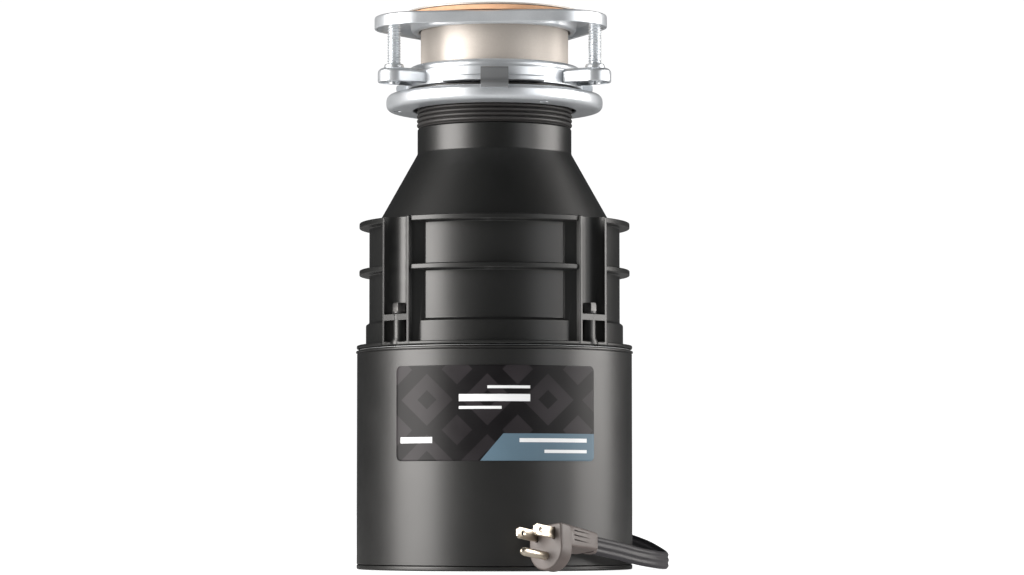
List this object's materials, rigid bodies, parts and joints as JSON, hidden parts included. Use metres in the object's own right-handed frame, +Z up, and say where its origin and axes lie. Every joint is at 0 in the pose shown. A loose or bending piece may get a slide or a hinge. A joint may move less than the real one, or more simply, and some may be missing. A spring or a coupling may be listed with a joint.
{
  "type": "kitchen garbage disposal",
  "caption": "Under-sink food waste disposer: motor can, ribbed grind chamber, rubber cushion, twist-lock sink mount, grinding gear and supply cord with grounded plug.",
  "frame": {"origin": "centre of the base on the surface it stands on", "axes": "+Z up along the motor axis towards the sink; -Y to the front, where the label is; the discharge outlet faces +Y"},
  "size_m": [0.1817, 0.3582, 0.324],
  "materials": {
    "stainless": "brushed, warm grey",
    "fibre": "pressed fibre board, matt tan",
    "zinc": "bright zinc plate, satin",
    "spring_steel": "ground steel, satin",
    "rubber": "moulded black rubber, satin",
    "black_plastic": "moulded black plastic, satin",
    "black_screw": "black oxide, satin",
    "cast_steel": "cast and plated, matt",
    "bronze": "sintered bronze, matt",
    "laminations": "stacked sheet edges, satin",
    "copper": "enamelled wire, satin",
    "black_paint": "baked satin black paint",
    "green_paint": "green zinc plate",
    "red_plastic": "moulded red plastic, gloss",
    "label": "printed film, satin",
    "cord_rubber": "moulded, satin",
    "cord_vinyl": "vinyl jacket, satin",
    "plug_vinyl": "moulded vinyl, satin",
    "nickel": "nickel plated brass"
  },
  "bodies": {
    "housing": {"sink_flange": "stainless", "fiber_gasket": "fibre", "backup_flange": "zinc", "snap_ring": "spring_steel", "mounting_ring": "zinc", "cushion_mount": "rubber", "splash_baffle": "rubber", "grind_chamber": "black_plastic", "chamber_gasket": "rubber", "dishwasher_inlet_plug": "black_plastic", "through_bolt_1": "black_screw", "through_bolt_2": "black_screw", "through_bolt_3": "black_screw", "through_bolt_4": "black_screw", "grind_ring": "cast_steel", "shaft_seal": "rubber", "upper_bearing": "bronze", "upper_end_bell": "cast_steel", "stator_core": "laminations", "winding_top": "copper", "winding_bottom": "copper", "start_switch": "black_plastic", "lower_end_bell": "cast_steel", "lower_bearing": "bronze", "thrust_washer": "fibre", "motor_shell": "black_paint", "base_cap": "black_paint", "wiring_cover": "black_paint", "cover_screw": "zinc", "ground_screw": "green_paint", "overload_protector": "black_plastic", "front_label": "label", "strain_relief": "cord_rubber", "cord_tail": "cord_vinyl", "cord_coil": "cord_vinyl", "cord_lead": "cord_vinyl", "plug_body": "plug_vinyl", "plug_blade_left": "nickel", "plug_blade_right": "nickel", "plug_ground_pin": "nickel"},
    "rotor": {"rotor_shaft": "spring_steel", "rotor_core": "laminations", "turntable": "stainless", "turntable_nut": "stainless", "lug_rivet_1": "stainless", "lug_rivet_2": "stainless"},
    "lug_1": {"swivel_lug_1": "cast_steel"},
    "lug_2": {"swivel_lug_2": "cast_steel"},
    "governor": {"governor_collar": "bronze"},
    "lock_ring": {"lower_mounting_ring": "zinc"},
    "screw_1": {"mounting_screw_1": "zinc"},
    "screw_2": {"mounting_screw_2": "zinc"},
    "screw_3": {"mounting_screw_3": "zinc"},
    "reset": {"reset_button": "red_plastic"}
  },
  "joints": [
    {"name": "rotor_spin", "type": "hinge", "parent": "housing", "child": "rotor", "pos_m": [0, 0, 0.1], "axis": [0, 0, 1], "continuous": true},
    {"name": "lug_1_swivel", "type": "hinge", "parent": "rotor", "child": "lug_1", "pos_m": [0.036, 0, 0.174], "axis": [0, 0, 1], "continuous": true},
    {"name": "lug_2_swivel", "type": "hinge", "parent": "rotor", "child": "lug_2", "pos_m": [-0.036, 0, 0.174], "axis": [0, 0, 1], "continuous": true},
    {"name": "governor_lift", "type": "slide", "parent": "rotor", "child": "governor", "axis": [0, 0, 1], "range_m": [0, 0.004], "stiffness_N_per_m": 150, "springref_m": -0.002},
    {"name": "lock_ring_turn", "type": "hinge", "parent": "housing", "child": "lock_ring", "pos_m": [0, 0, 0.27], "axis": [0, 0, 1], "range_deg": [-40, 0]},
    {"name": "mounting_screw_1_travel", "type": "slide", "parent": "housing", "child": "screw_1", "axis": [0, 0, 1], "range_m": [-0.0025, 0]},
    {"name": "mounting_screw_2_travel", "type": "slide", "parent": "housing", "child": "screw_2", "axis": [0, 0, 1], "range_m": [-0.0025, 0]},
    {"name": "mounting_screw_3_travel", "type": "slide", "parent": "housing", "child": "screw_3", "axis": [0, 0, 1], "range_m": [-0.0025, 0]},
    {"name": "reset_button_travel", "type": "slide", "parent": "housing", "child": "reset", "axis": [0, 0, 1], "range_m": [-0.0025, 0]}
  ]
}
